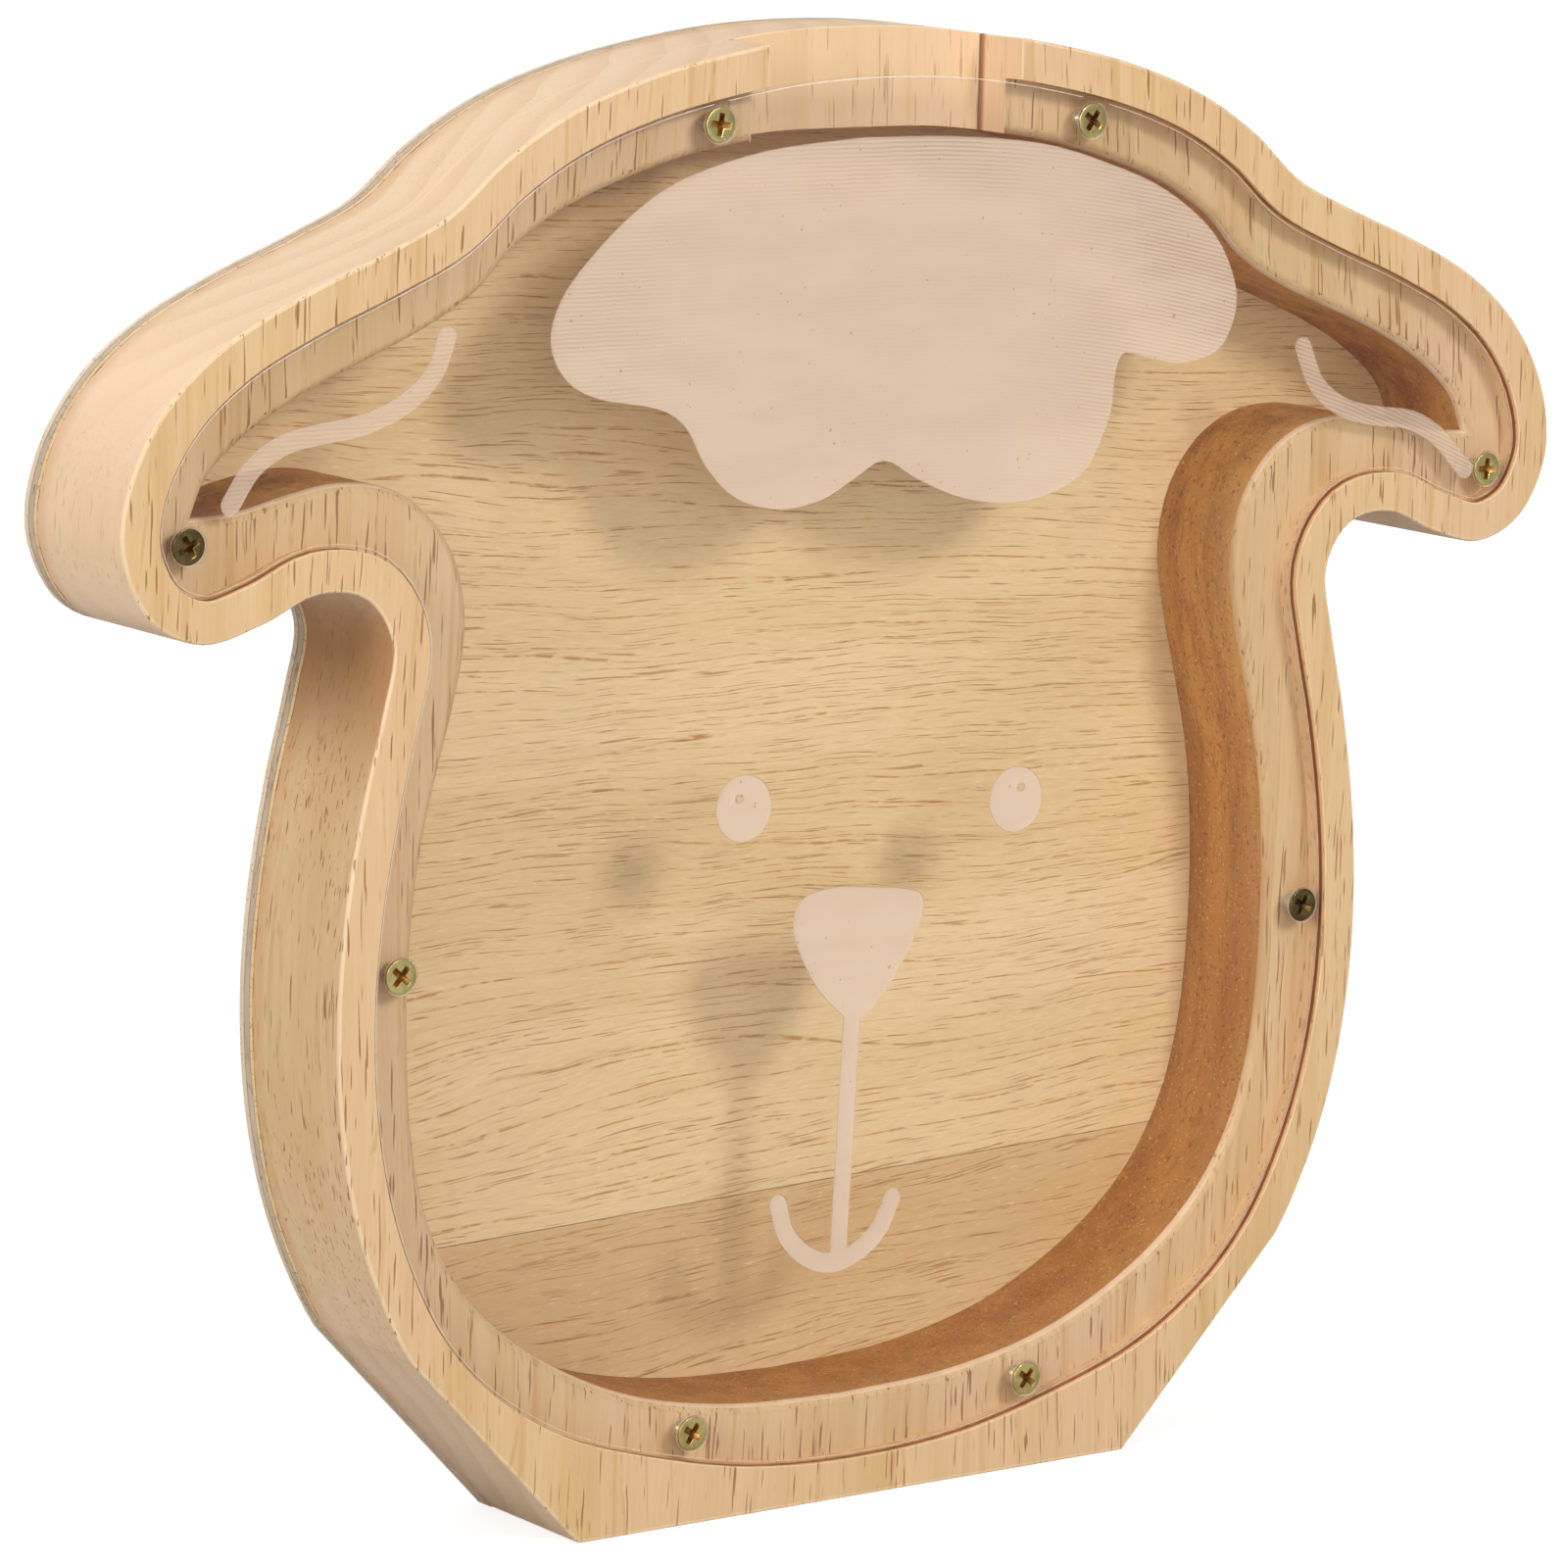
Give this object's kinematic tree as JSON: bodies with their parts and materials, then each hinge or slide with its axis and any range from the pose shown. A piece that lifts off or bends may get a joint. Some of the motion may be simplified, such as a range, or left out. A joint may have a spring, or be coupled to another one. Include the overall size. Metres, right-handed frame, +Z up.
{
  "type": "wooden money box",
  "caption": "Wooden animal-head money box with a clear engraved window in a rebate, fixed by small countersunk screws, and a coin slot milled in the top edge.",
  "frame": {"origin": "centre of the flat foot, on the surface the box stands on, halfway through its thickness", "axes": "+X to the right as seen from the front, +Y from the window to the back, +Z up"},
  "size_m": [0.204, 0.021, 0.1723],
  "materials": {
    "solid_wood": "bare sanded pale hardwood, vertical grain",
    "ply_face": "bare face veneer, pinkish",
    "ply_core": "grey cross-laid core, dark glue lines",
    "ply_inner": "bare face veneer, horizontal grain",
    "clear_sheet": "clear polished sheet with a frosted engraved drawing",
    "screws": "yellow-plated countersunk screws with a cross recess"
  },
  "bodies": {
    "case": {"frame": "solid_wood", "veneer_back": "ply_face", "core_ply": "ply_core", "veneer_front_upper": "ply_inner", "veneer_front_lower": "ply_inner"},
    "window": {"window": "clear_sheet"},
    "screw_1": {"screw_1": "screws"},
    "screw_2": {"screw_2": "screws"},
    "screw_3": {"screw_3": "screws"},
    "screw_4": {"screw_4": "screws"},
    "screw_5": {"screw_5": "screws"},
    "screw_6": {"screw_6": "screws"},
    "screw_7": {"screw_7": "screws"},
    "screw_8": {"screw_8": "screws"}
  },
  "joints": [
    {"name": "window_lift", "type": "slide", "parent": "case", "child": "window", "axis": [0, -1, 0], "range_m": [0, 0.04]},
    {"name": "screw_1_out", "type": "slide", "parent": "window", "child": "screw_1", "axis": [0, -1, 0], "range_m": [0, 0.012]},
    {"name": "screw_2_out", "type": "slide", "parent": "window", "child": "screw_2", "axis": [0, -1, 0], "range_m": [0, 0.012]},
    {"name": "screw_3_out", "type": "slide", "parent": "window", "child": "screw_3", "axis": [0, -1, 0], "range_m": [0, 0.012]},
    {"name": "screw_4_out", "type": "slide", "parent": "window", "child": "screw_4", "axis": [0, -1, 0], "range_m": [0, 0.012]},
    {"name": "screw_5_out", "type": "slide", "parent": "window", "child": "screw_5", "axis": [0, -1, 0], "range_m": [0, 0.012]},
    {"name": "screw_6_out", "type": "slide", "parent": "window", "child": "screw_6", "axis": [0, -1, 0], "range_m": [0, 0.012]},
    {"name": "screw_7_out", "type": "slide", "parent": "window", "child": "screw_7", "axis": [0, -1, 0], "range_m": [0, 0.012]},
    {"name": "screw_8_out", "type": "slide", "parent": "window", "child": "screw_8", "axis": [0, -1, 0], "range_m": [0, 0.012]}
  ]
}
